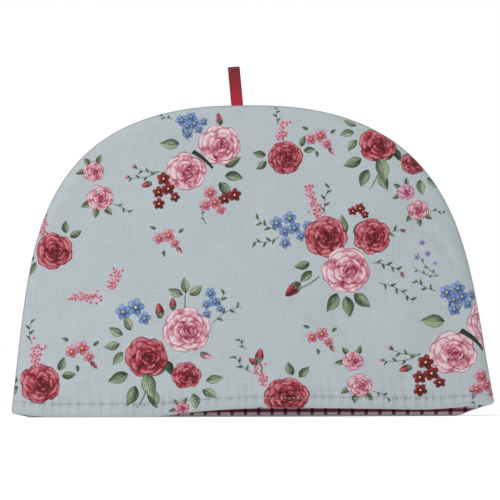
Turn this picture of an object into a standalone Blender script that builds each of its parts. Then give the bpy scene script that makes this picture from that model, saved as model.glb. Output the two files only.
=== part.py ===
# Tea cosy: two padded dome-shaped panels sewn together round the dome, each with a lining,
# and a ribbon loop caught in the seam at the top. It stands on its hem, front towards -Y,
# with the dome's seam in the plane Y = 0. Metres, +Z up, origin on the table under the middle.
import math

import bpy
import mathutils
import numpy as np

# Dome, seen from the front
HALF_WIDTH = 0.181          # half the width along the hem
HEIGHT = 0.235              # table to the top of the seam
TAPER = 0.155               # share of the width lost between hem and crown
SIDE_POWER = 2.42           # roundness of the sides
CROWN_POWER = 4.55          # flatness of the crown
SHOULDER = 0.84             # height of the shoulders, as a share of the dome's height
LEAN = 0.020                # how far the dome leans to the left, per metre of height

# Depth, front to back
SEAM_GAP = 0.0003           # between pieces that touch
ROUNDING = 0.010            # width of the rounded border beside the seam
PUFF = 0.007                # how far the padding stands out from the seam
OPENING = 0.031             # how much further the mouth is open at the hem, each side
OPENING_POWER = 1.1         # how the opening closes towards the top
MOUTH_POWER = 0.9           # roundness of the mouth, from side seam to side seam

# Layers
PADDED_THICKNESS = 0.004    # printed cotton and wadding
LINING_THICKNESS = 0.001
LINING_SETBACK = 0.002      # the lining stops this far above the hem's edge
LIFT_REACH = 0.075          # height over which a lifted hem fades out

# Height of the hem's edge above the table at places along the width (-1 left, 1 right)
FRONT_LIFT = (
    # place, lift
    (-1.00, 0.0030),
    (-0.90, 0.0012),
    (-0.80, 0.0000),
    (-0.42, 0.0000),
    (-0.28, 0.0030),
    (-0.05, 0.0060),
    (0.22, 0.0064),
    (0.50, 0.0056),
    (0.74, 0.0052),
    (0.90, 0.0075),
    (1.00, 0.0095),
)
BACK_LIFT = (
    # place, lift
    (-1.00, 0.0030),
    (-0.96, 0.0012),
    (-0.92, 0.0000),
    (0.84, 0.0000),
    (0.92, 0.0045),
    (1.00, 0.0095),
)

# Ribbon loop
RIBBON_WIDTH = 0.009
RIBBON_THICKNESS = 0.001
RIBBON_RISE = 0.0290        # seam to the outside of the fold
RIBBON_FLARE = 0.0064       # how much the loop opens out below its fold
RIBBON_SINK = 0.0001        # how far the slanting feet reach below the loop's foot
RIBBON_PLACE = -0.0066      # distance from the middle of the dome
RIBBON_LEAN = math.radians(5.0)

# Facets
COLUMNS = 28
ROWS = 18
RIBBON_STEPS = 40


def clear_scene():
    for obj in list(bpy.data.objects):
        bpy.data.objects.remove(obj, do_unlink=True)


def plain_material(name, color, roughness):
    material = bpy.data.materials.new(name)
    material.use_nodes = True
    shader = material.node_tree.nodes["Principled BSDF"]
    shader.inputs["Base Color"].default_value = (*color, 1.0)
    shader.inputs["Roughness"].default_value = roughness
    shader.inputs["Metallic"].default_value = 0.0
    material.diffuse_color = (*color, 1.0)
    return material


def add_object(name, points, triangles, material):
    """Make one closed, smooth-shaded object from points and triangles."""
    mesh = bpy.data.meshes.new(name)
    mesh.from_pydata([tuple(point) for point in points], [], triangles)
    mesh.validate()
    mesh.shade_smooth()
    mesh.set_sharp_from_angle(angle=math.radians(40.0))
    mesh.materials.append(material)
    obj = bpy.data.objects.new(name, mesh)
    bpy.context.scene.collection.objects.link(obj)
    return obj


def dome_side(height, inset):
    """Half the dome's width at a height, for the dome's outline drawn in by inset."""
    share = np.clip(height / (HEIGHT - inset), 0.0, 1.0)
    tapered = (HALF_WIDTH - inset) * (1.0 - TAPER * share)
    return tapered * (1.0 - share**CROWN_POWER) ** (1.0 / SIDE_POWER)


def dome_crown(across, inset):
    """Height of the dome's outline at a distance across, found by repeated substitution."""
    share = np.ones_like(across)
    for _ in range(12):
        tapered = (HALF_WIDTH - inset) * (1.0 - TAPER * share)
        filled = np.clip(np.abs(across) / tapered, 0.0, 1.0) ** SIDE_POWER
        share = (1.0 - filled) ** (1.0 / CROWN_POWER)
    return share * (HEIGHT - inset)


def fullness(across, height, inset):
    """One in the middle of the hem and nought on the seam, with its steepness per metre."""
    tall = HEIGHT - inset
    share = np.clip(height / tall, 0.0, 1.0)
    narrowing = 1.0 - TAPER * share
    tapered = (HALF_WIDTH - inset) * narrowing
    side = (np.abs(across) / tapered) ** SIDE_POWER
    crown = share**CROWN_POWER
    across_slope = SIDE_POWER * (np.abs(across) / tapered) ** (SIDE_POWER - 1.0) / tapered
    height_slope = SIDE_POWER * side * TAPER / (narrowing * tall)
    height_slope += CROWN_POWER * share ** (CROWN_POWER - 1.0) / tall
    steepness = np.maximum(np.hypot(across_slope, height_slope), 1.0 / tall)
    return np.clip(1.0 - side - crown, 0.0, 1.0), steepness


def hem_lift(across, table):
    """Height of the hem's edge: a smooth curve through a table, level where it touches down."""
    places, lifts = np.array(table).T
    slopes = np.gradient(lifts, places)
    slopes[lifts == 0.0] = 0.0
    place = np.clip(across / HALF_WIDTH, -1.0, 1.0)
    after = np.clip(np.searchsorted(places, place, side="right"), 1, len(places) - 1)
    before = after - 1
    span = places[after] - places[before]
    share = (place - places[before]) / span
    left = (1.0 + 2.0 * share) * (1.0 - share) ** 2 * lifts[before]
    right = share**2 * (3.0 - 2.0 * share) * lifts[after]
    bend = share * (1.0 - share) * ((1.0 - share) * slopes[before] - share * slopes[after]) * span
    return np.maximum(left + right + bend, 0.0)


def shell_surface(inset, setback, lift_table, side):
    """Grid of points on the dome, drawn in by inset; side is -1 for the front, 1 for the back.

    Across times the side's width and up times the crown's height fill the whole outline, with
    the grid's edges on the hem and the seam, and its lines close together beside the seam.
    """
    turn = np.linspace(-0.5 * math.pi, 0.5 * math.pi, COLUMNS + 1)
    rise = np.linspace(0.0, 0.5 * math.pi, ROWS + 1)
    start = setback / HEIGHT
    place, up = np.meshgrid(np.sin(turn), start + (1.0 - start) * np.sin(rise))
    shoulder_height = SHOULDER * (HEIGHT - inset)
    shoulder_width = dome_side(np.array(shoulder_height), inset)
    across = place * dome_side(up * shoulder_height, inset)
    height = up * dome_crown(place * shoulder_width, inset)
    full, steepness = fullness(across, height, inset)
    border = np.clip(full / (steepness * (ROUNDING - inset)), 0.0, 1.0)
    puff = (PUFF - inset) * np.sqrt(1.0 - (1.0 - border) ** 2)
    share = np.clip(height / (HEIGHT - inset), 0.0, 1.0)
    beside = np.clip(np.abs(across) / np.maximum(dome_side(height, inset), inset + SEAM_GAP), 0.0, 1.0)
    mouth = OPENING * (1.0 - share) ** OPENING_POWER * (1.0 - beside**2) ** MOUTH_POWER
    depth = 0.5 * SEAM_GAP + puff + mouth
    fade = np.clip(1.0 - height / LIFT_REACH, 0.0, 1.0) ** 2
    lifted = height + hem_lift(across, lift_table) * fade
    return np.stack([across - LEAN * lifted, side * depth, lifted], axis=-1)


def shell_triangles():
    """Triangles of a shell: its outer grid, its inner grid and the strip round their edges."""
    wide = COLUMNS + 1
    grid_size = wide * (ROWS + 1)
    triangles = []
    for row in range(ROWS):
        for column in range(COLUMNS):
            a = row * wide + column
            b = a + 1
            c = b + wide
            d = a + wide
            triangles += [(a, b, c), (a, c, d)]
            triangles += [(c + grid_size, b + grid_size, a + grid_size)]
            triangles += [(d + grid_size, c + grid_size, a + grid_size)]
    hem = list(range(wide))
    right = [row * wide + COLUMNS for row in range(1, ROWS + 1)]
    crown = [ROWS * wide + column for column in range(COLUMNS - 1, -1, -1)]
    left = [row * wide for row in range(ROWS - 1, 0, -1)]
    edge = hem + right + crown + left
    for a, b in zip(edge, edge[1:] + edge[:1]):
        triangles += [(b, a, a + grid_size), (b, a + grid_size, b + grid_size)]
    return triangles


def dome_panel(name, inset, thickness, setback, lift_table, side, material):
    """A dome-shaped layer between two surfaces, one drawn in further than the other."""
    outer = shell_surface(inset, setback, lift_table, side)
    inner = shell_surface(inset + thickness, setback, lift_table, side)
    points = np.concatenate([outer.reshape(-1, 3), inner.reshape(-1, 3)])
    triangles = shell_triangles()
    if side > 0:
        triangles = [(c, b, a) for a, b, c in triangles]
    return add_object(name, points, triangles, material)


def ribbon_loop(material):
    """A ribbon folded over into a loop: a strip carried up the front, over and down the back.

    Its middle line is half an ellipse whose width grows from the pinched foot to the fold.
    """
    turn = np.linspace(0.0, math.pi, RIBBON_STEPS + 1)
    foot = 0.5 * (RIBBON_THICKNESS + SEAM_GAP)
    middle_y = -np.cos(turn) * (foot + RIBBON_FLARE * np.sin(turn))
    middle_z = (RIBBON_RISE - 0.5 * RIBBON_THICKNESS) * np.sin(turn)
    along_y = np.gradient(middle_y)
    along_z = np.gradient(middle_z)
    reach = 0.5 * RIBBON_THICKNESS / np.hypot(along_y, along_z)
    outside = np.stack([middle_y - along_z * reach, middle_z + along_y * reach], axis=-1)
    inside = np.stack([middle_y + along_z * reach, middle_z - along_y * reach], axis=-1)
    half = 0.5 * RIBBON_WIDTH
    rails = [(-half, outside), (half, outside), (half, inside), (-half, inside)]
    points = [(across, y, z) for across, rail in rails for y, z in rail]
    count = RIBBON_STEPS + 1
    triangles = []
    for rail in range(4):
        here = rail * count
        there = (rail + 1) % 4 * count
        for k in range(RIBBON_STEPS):
            triangles += [(here + k, there + k, there + k + 1), (here + k, there + k + 1, here + k + 1)]
    first = [rail * count for rail in range(4)]
    last = [index + RIBBON_STEPS for index in first]
    triangles += [(first[0], first[2], first[1]), (first[0], first[3], first[2])]
    triangles += [(last[0], last[1], last[2]), (last[0], last[2], last[3])]
    lean = mathutils.Matrix.Rotation(-RIBBON_LEAN, 3, "Y")
    droop = 0.5 * RIBBON_WIDTH * math.sin(RIBBON_LEAN) + RIBBON_SINK
    foot_at = mathutils.Vector((RIBBON_PLACE - LEAN * HEIGHT, 0.0, HEIGHT + SEAM_GAP + droop))
    placed = [foot_at + lean @ mathutils.Vector(point) for point in points]
    return add_object("ribbon_loop", placed, triangles, material)


def build():
    clear_scene()
    printed = plain_material("printed_cotton", (0.78, 0.80, 0.81), 0.85)
    checked = plain_material("checked_cotton", (0.62, 0.16, 0.18), 0.85)
    ribbon = plain_material("red_ribbon", (0.60, 0.02, 0.05), 0.5)
    behind = PADDED_THICKNESS + SEAM_GAP
    sides = (("front", -1.0, FRONT_LIFT), ("back", 1.0, BACK_LIFT))
    for name, side, lift_table in sides:
        dome_panel("outer_" + name, 0.0, PADDED_THICKNESS, 0.0, lift_table, side, printed)
        dome_panel("lining_" + name, behind, LINING_THICKNESS, LINING_SETBACK, lift_table, side, checked)
    ribbon_loop(ribbon)


build()
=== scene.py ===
import math

import bpy
import numpy as np
from mathutils import Euler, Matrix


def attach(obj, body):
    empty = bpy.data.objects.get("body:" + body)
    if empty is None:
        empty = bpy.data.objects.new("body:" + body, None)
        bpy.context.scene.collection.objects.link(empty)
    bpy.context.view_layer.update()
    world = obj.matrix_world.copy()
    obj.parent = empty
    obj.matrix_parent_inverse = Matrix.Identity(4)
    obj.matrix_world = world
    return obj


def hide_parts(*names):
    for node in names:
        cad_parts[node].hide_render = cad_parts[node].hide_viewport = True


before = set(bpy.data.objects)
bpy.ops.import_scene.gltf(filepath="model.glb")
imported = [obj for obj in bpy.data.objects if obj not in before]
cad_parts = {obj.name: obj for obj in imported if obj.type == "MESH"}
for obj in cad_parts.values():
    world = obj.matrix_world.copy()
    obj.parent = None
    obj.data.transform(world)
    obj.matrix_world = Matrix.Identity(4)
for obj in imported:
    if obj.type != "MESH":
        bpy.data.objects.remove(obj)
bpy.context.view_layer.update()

# Tea cosy: two printed, padded panels sewn round the dome, a checked lining in each, and a ribbon
# loop at the top. Metres, +Z up, front towards -Y. The print is worked out in millimetres.

# the print's colours, as they look; each motif has a deep, a mid and a light tone
paints = {
    "ground": (0.655, 0.690, 0.705),
    "leafDeep": (0.105, 0.160, 0.115), "leafMid": (0.410, 0.475, 0.370), "leafLight": (0.635, 0.675, 0.565),
    "pinkDeep": (0.480, 0.130, 0.220), "pinkMid": (0.720, 0.440, 0.510), "pinkLight": (0.820, 0.740, 0.760),
    "redDeep": (0.260, 0.035, 0.070), "redMid": (0.560, 0.160, 0.210), "redLight": (0.740, 0.460, 0.500),
    "wineDeep": (0.200, 0.025, 0.050), "wineMid": (0.440, 0.085, 0.130), "wineLight": (0.640, 0.300, 0.350),
    "rosyDeep": (0.330, 0.050, 0.110), "rosyMid": (0.610, 0.260, 0.330), "rosyLight": (0.800, 0.640, 0.690),
    "blueDeep": (0.170, 0.240, 0.410), "blueMid": (0.400, 0.510, 0.680), "blueLight": (0.590, 0.670, 0.780),
    "lilacDeep": (0.340, 0.310, 0.480), "lilacMid": (0.560, 0.540, 0.690), "lilacLight": (0.700, 0.680, 0.790),
    "yellow": (0.830, 0.760, 0.400), "stem": (0.310, 0.380, 0.310), "twig": (0.090, 0.120, 0.090),
}


def paint(name):
    return np.array(paints[name], np.float32)


def tonesOf(name):
    return [paint(name + part) for part in ("Deep", "Mid", "Light")]


# smooth rise from nought at low to one at high
def ease(low, high, value):
    share = np.clip((value - low) / (high - low), 0.0, 1.0)
    return share * share * (3.0 - 2.0 * share)


# a run through three colours as share goes from nought to one
def threeTones(tones, share):
    share = np.clip(share, 0.0, 1.0)[:, None]
    lower = tones[0] + (tones[1] - tones[0]) * np.minimum(share * 2.0, 1.0)
    return lower + (tones[2] - tones[1]) * np.maximum(share * 2.0 - 1.0, 0.0)


# the cloth's points within reach of (x, y), and their places along and beside a direction from there
def around(cloth, x, y, reach, turn=0.0):
    where = np.flatnonzero((np.abs(cloth["x"] - x) < reach) & (np.abs(cloth["y"] - y) < reach))
    across = cloth["x"][where] - x
    up = cloth["y"][where] - y
    return where, across * math.cos(turn) + up * math.sin(turn), up * math.cos(turn) - across * math.sin(turn)


def lay(cloth, where, colour, cover):
    cover = cover[:, None]
    cloth["colour"][where] = cloth["colour"][where] * (1.0 - cover) + colour * cover


# a petal is a ruffled disc, flattened sideways: dark at its root, lighter towards its rim, with one
# brushed highlight and a thin dark line round it
def paintPetal(cloth, x, y, radius, turn, wide, tones, light, seed):
    where, u, v = around(cloth, x, y, radius * max(wide, 1.0) * 1.25, turn)
    u = u / radius
    v = v / (radius * wide)
    angle = np.arctan2(v, u)
    ring = np.hypot(u, v) / (1.0 + 0.05 * np.sin(3.0 * angle + seed) + 0.03 * np.sin(7.0 * angle + 2.3 * seed))
    soft = 0.22 / radius
    streak = 0.15 * np.sin(v * 4.0 + seed * 3.0 + 2.0 * u) + 0.13 * np.sin(v * 10.0 + 4.0 * u + seed)
    colour = threeTones(tones, 0.36 + 0.50 * u + light + streak)
    brushed = ease(0.50, 0.72, ring) * (1.0 - ease(0.80, 0.92, ring)) * ease(0.0, 0.5, u)
    brushed = brushed * np.clip(0.35 + 0.75 * np.sin(1.7 * angle + seed * 1.7), 0.0, 1.0)
    colour = colour + (tones[2] - colour) * brushed[:, None]
    line = ease(1.0 - 0.75 / radius, 1.0 - 0.15 / radius, ring) * ease(-0.5, 0.3, u)
    line = line * (0.72 + 0.28 * np.sin(2.0 * angle + seed * 2.9))
    colour = colour + (0.2 * tones[1] + 0.8 * tones[0] - colour) * line[:, None]
    lay(cloth, where, colour, 1.0 - ease(1.0 - soft, 1.0 + soft, ring))


# an arc is a thin brush stroke round a centre, thickest in its middle
def paintArc(cloth, x, y, radius, turn, spread, width, colour):
    where, u, v = around(cloth, x, y, radius + 1.5)
    off = np.abs((np.arctan2(v, u) - turn + math.pi) % (2.0 * math.pi) - math.pi) / spread
    thick = width * np.sqrt(np.clip(1.0 - off**2, 0.0, 1.0))
    cover = 1.0 - ease(thick - 0.1, thick + 0.25, np.abs(np.hypot(u, v) - radius))
    lay(cloth, where, colour, cover * (off < 1.0) * 0.75)


# a rose is rings of petals, each ring smaller and nearer its heart, laid from the outside in
def paintRose(cloth, x, y, wide, tall, heartX, heartY, tone, seed):
    rng = np.random.default_rng(seed)
    tones = tonesOf(tone)
    size = 0.25 * (wide + tall)
    rings = ((0.62, 0.42, 6), (0.47, 0.40, 5), (0.30, 0.31, 4), (0.16, 0.22, 3), (0.05, 0.13, 2))
    lift = 0.12 if tone == "pink" else 0.0
    for distance, radius, count in rings:
        start = rng.uniform(0.0, 2.0 * math.pi)
        toHeart = 1.0 - distance / 0.64
        for k in range(count):
            turn = start + 2.0 * math.pi * (k + rng.uniform(-0.18, 0.18)) / count
            petalX = x + heartX * toHeart + math.cos(turn) * distance * 0.5 * wide
            petalY = y + heartY * toHeart + math.sin(turn) * distance * 0.5 * tall
            light = lift + 0.14 * math.cos(turn - 2.6) + rng.uniform(-0.14, 0.14) - 0.26 * toHeart**2
            broad = rng.uniform(1.10, 1.40)
            paintPetal(cloth, petalX, petalY, radius * size, turn, broad, tones, light, rng.uniform(0, 6))
    for k in range(3):
        turn = rng.uniform(0.0, 2.0 * math.pi)
        paintArc(cloth, x + heartX, y + heartY, size * (0.10 + 0.11 * k), turn, 1.3, 0.35, tones[0])


# a leaf is a pointed oval from its joint to its tip: toothed, with a midrib, side veins, one shaded half
def paintLeaf(cloth, x0, y0, x1, y1, wide, tone, seed):
    length = math.hypot(x1 - x0, y1 - y0)
    middle = (0.5 * (x0 + x1), 0.5 * (y0 + y1))
    where, u, v = around(cloth, *middle, 0.5 * length + wide, math.atan2(y1 - y0, x1 - x0))
    u = u / length + 0.5
    inside = np.clip(u, 0.0, 1.0)
    v = v - 0.24 * length * math.sin(seed) * inside * (1.0 - inside)
    teeth = 1.0 + 0.07 * np.abs(np.sin(inside * (4.0 + length * 0.5) * math.pi))
    half = 0.48 * wide * np.clip(np.sin(math.pi * inside**0.80), 0.0, 1.0) ** 0.95 * teeth + 1e-4
    off = v / half
    shaded = ease(-0.1, 0.5, off * (1.0 if seed % 2 < 1 else -1.0))
    share = 1.00 - 0.50 * shaded + 0.12 * np.sin(u * 9.0 + seed) * np.sin(off * 5.0) - 0.35 * ease(0.40, 0.0, u)
    tones = tonesOf("leaf")
    colour = threeTones(tones, share - {"light": 0.0, "mid": 0.22, "dark": 0.75}[tone])
    rib = 0.95 * (1.0 - ease(0.16, 0.52, np.abs(v) / (1.25 - inside)))
    slant = np.abs(((u - 0.32 * np.abs(off)) * (2.5 + length * 0.28)) % 1.0 - 0.5) * 2.0
    vein = 0.85 * ease(0.62, 0.92, slant) * ease(0.0, 0.25, np.abs(off)) * (1.0 - 0.6 * ease(0.75, 0.97, np.abs(off)))
    edge = 0.95 * ease(0.72, 0.95, np.abs(off)) * (0.50 + 0.5 * shaded)
    dark = np.clip(np.maximum(rib, np.maximum(vein, edge)), 0.0, 1.0)[:, None]
    colour = colour + (0.8 * tones[0] + 0.2 * tones[1] - colour) * dark
    lay(cloth, where, colour, (1.0 - ease(half - 0.2, half + 0.2, np.abs(v))) * (u > 0.0) * (u < 1.0))


# a small flower has round petals about an eye
def paintBlossom(cloth, x, y, size, tone, eye, seed, petals=5):
    rng = np.random.default_rng(seed)
    tones = tonesOf(tone)
    start = rng.uniform(0.0, 6.3)
    radius = 0.5 * size
    outline = 0.75 * min(1.0, radius / 3.5)
    for k in range(petals):
        turn = start + 2.0 * math.pi * (k + rng.uniform(-0.08, 0.08)) / petals
        petalX = x + math.cos(turn) * 0.60 * radius
        petalY = y + math.sin(turn) * 0.60 * radius
        where, u, v = around(cloth, petalX, petalY, radius * 0.62, turn)
        u = u / (0.46 * radius)
        ring = np.hypot(u, v / (0.40 * radius))
        share = (0.50 if size > 4.0 else 0.64) + 0.28 * u + 0.18 * math.cos(turn - 2.2) - outline * ease(0.70, 1.0, ring)
        lay(cloth, where, threeTones(tones, share), 1.0 - ease(0.92 - 0.12 / radius, 1.0 + 0.2 / radius, ring))
    where, u, v = around(cloth, x, y, radius * 0.4)
    ring = np.hypot(u, v) / radius
    lay(cloth, where, tones[0], (1.0 - ease(0.16, 0.32, ring)) * (0.8 if size > 4.0 else 0.4))
    if eye:
        lay(cloth, where, paint("yellow"), 1.0 - ease(0.10, 0.22, ring))


# a bud is a drop of petals, standing in a cup of three small leaves
def paintBud(cloth, x, y, length, degrees, tone, seed):
    turn = math.radians(degrees)
    where, u, v = around(cloth, x, y, length, turn)
    u = u / (0.5 * length)
    v = v / (0.5 * length)
    half = 0.55 * np.sqrt(np.clip(1.0 - u**2, 0.0, 1.0)) * (1.0 - 0.35 * np.clip(u, -1.0, 1.0))
    rim = ease(0.7, 1.0, np.abs(v) / (half + 1e-3))
    share = 0.45 + 0.35 * np.sin(v * 5.0 + seed) - 0.35 * ease(0.2, -0.8, u) - 0.25 * rim
    lay(cloth, where, threeTones(tonesOf(tone), share), (1.0 - ease(-0.06, 0.06, np.abs(v) - half)) * (np.abs(u) < 1.0))
    footX = x - math.cos(turn) * length * 0.55
    footY = y - math.sin(turn) * length * 0.55
    for swing in (-0.55, 0.0, 0.55):
        tipX = footX + math.cos(turn + swing) * length * 0.48
        tipY = footY + math.sin(turn + swing) * length * 0.48
        paintLeaf(cloth, footX, footY, tipX, tipY, length * 0.24, "mid", seed)


# a stroke follows a bowed line between its ends and thins towards the far one
def paintStroke(cloth, x0, y0, x1, y1, bow, width, tone):
    length = math.hypot(x1 - x0, y1 - y0)
    reach = 0.5 * length + abs(bow) + width
    middle = (0.5 * (x0 + x1), 0.5 * (y0 + y1))
    where, u, v = around(cloth, *middle, reach, math.atan2(y1 - y0, x1 - x0))
    u = u / length + 0.5
    v = v - bow * 4.0 * u * (1.0 - u)
    thick = 0.5 * width * (1.15 - 0.5 * np.clip(u, 0.0, 1.0))
    cover = (1.0 - ease(thick - 0.12, thick + 0.18, np.abs(v))) * (u > 0.0) * (u < 1.0)
    lay(cloth, where, paint(tone), cover * 0.9)


# a sprig is a thin bowed stem with small leaves by turns on each side, and a bud at its end if it has one
def paintSprig(cloth, x0, y0, x1, y1, bow, leaves, size, tip, seed):
    length = math.hypot(x1 - x0, y1 - y0)
    turn = math.atan2(y1 - y0, x1 - x0)
    paintStroke(cloth, x0, y0, x1, y1, bow, 0.55, "stem")
    for k in range(leaves):
        share = (k + 0.8) / (leaves + 0.4)
        rise = bow * 4.0 * share * (1.0 - share)
        leafX = x0 + math.cos(turn) * length * share - math.sin(turn) * rise
        leafY = y0 + math.sin(turn) * length * share + math.cos(turn) * rise
        swing = turn + (0.85 if (k + seed) % 2 else -0.85)
        tipX = leafX + math.cos(swing) * size
        tipY = leafY + math.sin(swing) * size
        paintLeaf(cloth, leafX, leafY, tipX, tipY, size * 0.42, "mid" if k % 3 else "light", seed + k)
    if tip:
        paintBud(cloth, x1, y1, 4.2, math.degrees(turn), tip, seed)


# a spray is a tapering spike of tiny four-petalled flowers, closer together at its root
def paintSpray(cloth, x0, y0, x1, y1, wide, tone, seed):
    rng = np.random.default_rng(seed)
    for _ in range(int(12 + 2.2 * math.hypot(x1 - x0, y1 - y0))):
        share = rng.uniform(0.0, 1.0)
        spread = wide * 0.25 * (1.0 - 0.45 * share)
        flowerX = x0 + (x1 - x0) * share + rng.normal() * spread
        flowerY = y0 + (y1 - y0) * share + rng.normal() * spread
        paintBlossom(cloth, flowerX, flowerY, rng.uniform(2.2, 3.6), tone, False, int(rng.integers(99)), 4)
        paintStroke(cloth, flowerX, flowerY, flowerX + 0.9, flowerY - 0.9, 0.0, 0.4, tone + "Deep")


# bouquets, composed in millimetres about their own middle, each row starting x, y: leaves first
# degrees, step, count, gap, length, tone; blossoms spread, count, size, tone; sprig degrees, length,
# leaves, leaf size, tip; spray degrees, length, width, tone; bud degrees, length, tone; stem and twig
# degrees, length, width; rose width, tone
bouquets = {
    "posy": [
        ("leaves", 0, 0, 80, 90, 3, 5, 15, "light"), ("leaves", 20, -20, 300, 40, 3, 10, 14, "mid"),
        ("sprig", -10, 20, 150, 15, 4, 4, ""), ("sprig", -20, -20, 170, 20, 4, 4, "pink"),
        ("sprig", -20, -20, 190, 25, 4, 4, "pink"), ("sprig", 15, -60, 100, 15, 3, 3, ""),
        ("blossoms", 5, 15, 10, 7, 9, "blue"), ("bud", 25, 20, 100, 9, "pink"),
        ("rose", 25, 0, 32, "pink"), ("rose", 0, -20, 30, "pink"), ("twig", 5, -5, 320, 20, 3),
        ("blossoms", -15, -35, 12, 5, 10, "wine"), ("bud", -30, -30, 200, 8, "red"),
        ("blossoms", 20, -45, 10, 4, 10, "pink"), ("blossoms", 35, -40, 8, 2, 10, "wine"),
    ],
    "cluster": [
        ("stem", 30, 30, 90, 20, 1), ("leaves", 30, 45, 30, 60, 3, 3, 12, "light"),
        ("leaves", -10, 10, 100, 40, 4, 10, 12, "light"), ("leaves", 0, -10, 190, 45, 3, 14, 16, "mid"),
        ("leaves", 35, -20, 270, 45, 3, 10, 13, "light"), ("leaves", 15, 0, 240, 40, 2, 3, 12, "dark"),
        ("sprig", 50, 25, 30, 25, 4, 5, ""), ("sprig", 55, 35, 70, 15, 3, 5, ""),
        ("spray", -20, 65, 240, 15, 10, "pink"), ("spray", -35, 45, 180, 22, 8, "pink"),
        ("blossoms", -10, 35, 12, 3, 13, "blue"), ("blossoms", 50, 40, 10, 5, 8, "blue"),
        ("bud", 10, 35, 100, 11, "red"), ("bud", 20, 40, 90, 9, "red"), ("bud", 45, 0, -20, 9, "pink"),
        ("rose", 30, 20, 36, "pink"), ("rose", 0, 0, 32, "red"), ("rose", 30, -15, 22, "red"),
        ("leaves", 0, -10, 280, 10, 1, 2, 20, "light"), ("stem", 0, -25, 240, 15, 1),
    ],
    "group": [
        ("leaves", 0, 15, 50, 40, 2, 12, 15, "light"), ("leaves", 0, -10, 230, 40, 3, 10, 16, "mid"),
        ("leaves", -15, 5, 180, 30, 2, 12, 12, "mid"), ("blossoms", -40, 30, 14, 7, 10, "blue"),
        ("spray", -20, 40, 110, 25, 9, "pink"), ("sprig", -15, 40, 80, 25, 5, 5, ""),
        ("sprig", -50, 30, 150, 20, 5, 5, ""), ("sprig", -50, 25, 190, 20, 5, 5, ""),
        ("sprig", 30, 25, 20, 15, 3, 5, "pink"), ("sprig", 20, 5, 340, 25, 6, 5, "pink"),
        ("sprig", 25, -10, 330, 30, 6, 5, ""), ("blossoms", 10, 45, 7, 3, 8, "wine"),
        ("stem", -20, -5, 210, 20, 1), ("bud", -40, -15, 220, 14, "red"),
        ("rose", -15, 25, 32, "red"), ("rose", 20, 25, 28, "red"), ("rose", 0, 0, 36, "pink"),
    ],
    "single": [
        ("leaves", -10, 0, 160, 50, 2, 5, 10, "mid"), ("leaves", 10, 5, 0, 60, 2, 4, 9, "mid"),
        ("spray", 0, 25, 250, 12, 10, "pink"), ("sprig", -5, 25, 90, 15, 4, 4, ""),
        ("rose", 0, 0, 26, "red"),
    ],
    "pair": [
        ("leaves", 0, 0, 200, 50, 3, 7, 9, "mid"), ("leaves", -5, 20, 60, 60, 3, 6, 8, "mid"),
        ("sprig", 10, -5, 330, 15, 3, 4, ""), ("rose", 0, 0, 20, "pink"), ("rose", -5, 20, 16, "pink"),
    ],
    "trio": [
        ("leaves", 0, 0, 20, 120, 3, 10, 5, "mid"), ("bud", 10, -10, 310, 6, "pink"),
        ("blossoms", 0, 0, 9, 3, 10, "pink"),
    ],
    "buds": [
        ("stem", 5, -5, 280, 10, 1), ("sprig", -5, 5, 120, 10, 3, 4, ""),
        ("bud", 5, 0, 80, 11, "red"), ("bud", 0, -5, 140, 8, "red"),
    ],
    "wild": [
        ("sprig", 10, -15, 130, 25, 4, 3, ""), ("sprig", 10, -15, 160, 20, 3, 3, ""),
        ("blossoms", 0, 0, 12, 4, 5, "lilac"),
    ],
}

# where the bouquets lie on each panel: name, millimetres right of the middle, above the hem, size, degrees
frontPlaces = (
    ("posy", -50, 205, 1.0, 0), ("posy", 150, 70, 1.2, 0), ("cluster", -80, 45, 1.0, 0),
    ("cluster", 95, 205, 0.9, 0), ("group", 70, 110, 1.0, 0), ("single", 25, 195, 1.0, 0),
    ("single", -160, 25, 1.2, 0), ("single", -150, 125, 1.1, 20), ("pair", -115, 165, 1.0, 0),
    ("pair", 80, 20, 1.0, 0), ("pair", 125, 155, 0.8, 20), ("single", 25, 10, 1.3, 40),
    ("trio", 50, 210, 1.0, 0), ("trio", -130, 50, 1.1, 0), ("trio", -65, 135, 1.0, 0),
    ("trio", 50, 60, 1.0, 0), ("buds", 0, 45, 1.0, 0), ("wild", 130, 120, 1.0, 0), ("pair", -50, -10, 0.7, 0),
)
backPlaces = (
    ("posy", 52, 196, 1.0, 4), ("cluster", -84, 172, 0.95, -6), ("group", 118, 118, 0.95, 3),
    ("single", -18, 210, 1.0, 0), ("pair", -16, 150, 1.0, 0), ("cluster", 44, 52, 1.0, 0),
    ("posy", -62, 98, 1.05, -4), ("single", -132, 118, 1.1, 0), ("group", -128, 40, 1.0, -4),
    ("trio", 4, 98, 1.1, 20), ("trio", -110, 214, 1.0, 0), ("pair", 142, 44, 1.0, 0),
    ("trio", 104, 176, 1.0, -15), ("single", -38, 12, 1.1, 0), ("trio", 96, 12, 1.0, 40),
)


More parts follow.
